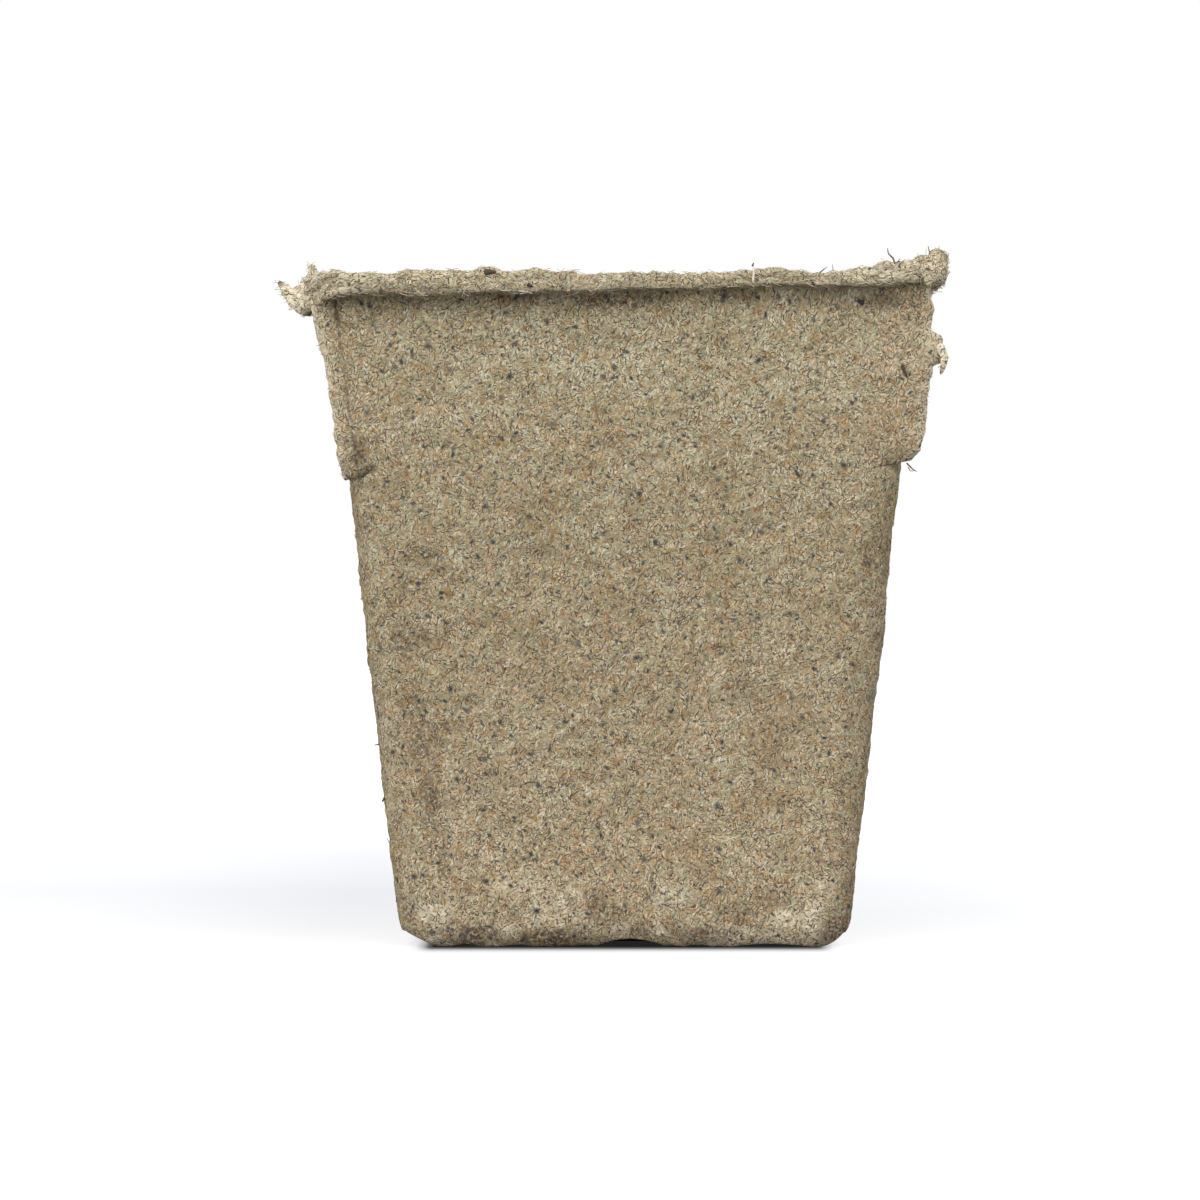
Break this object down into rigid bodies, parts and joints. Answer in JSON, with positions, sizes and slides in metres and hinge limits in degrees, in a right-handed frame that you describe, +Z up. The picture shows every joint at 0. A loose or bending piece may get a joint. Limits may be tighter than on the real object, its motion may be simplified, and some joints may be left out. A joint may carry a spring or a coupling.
{
  "type": "square seedling pot",
  "caption": "Tapered square seedling pot of felted wood fibre with rounded corners, a torn outward flange at the mouth and a drained floor.",
  "frame": {"origin": "centre of the underside, where the pot stands", "axes": "+Z up from the underside to the mouth, -Y out of the front face, +X to the right as the front is faced"},
  "size_m": [0.0828, 0.0805, 0.0879],
  "materials": {
    "pressed_felt": "matt, pressed wood fibre felt",
    "torn_felt": "matt, torn and frayed wood fibre felt"
  },
  "bodies": {
    "root": {"floor": "pressed_felt", "front_wall": "pressed_felt", "right_wall": "pressed_felt", "back_wall": "pressed_felt", "left_wall": "pressed_felt", "rim_front": "torn_felt", "rim_right": "torn_felt", "rim_back": "torn_felt", "rim_left": "torn_felt", "web_front_left": "torn_felt", "web_front_right": "torn_felt", "web_back_right": "torn_felt", "web_back_left": "torn_felt"}
  },
  "joints": []
}
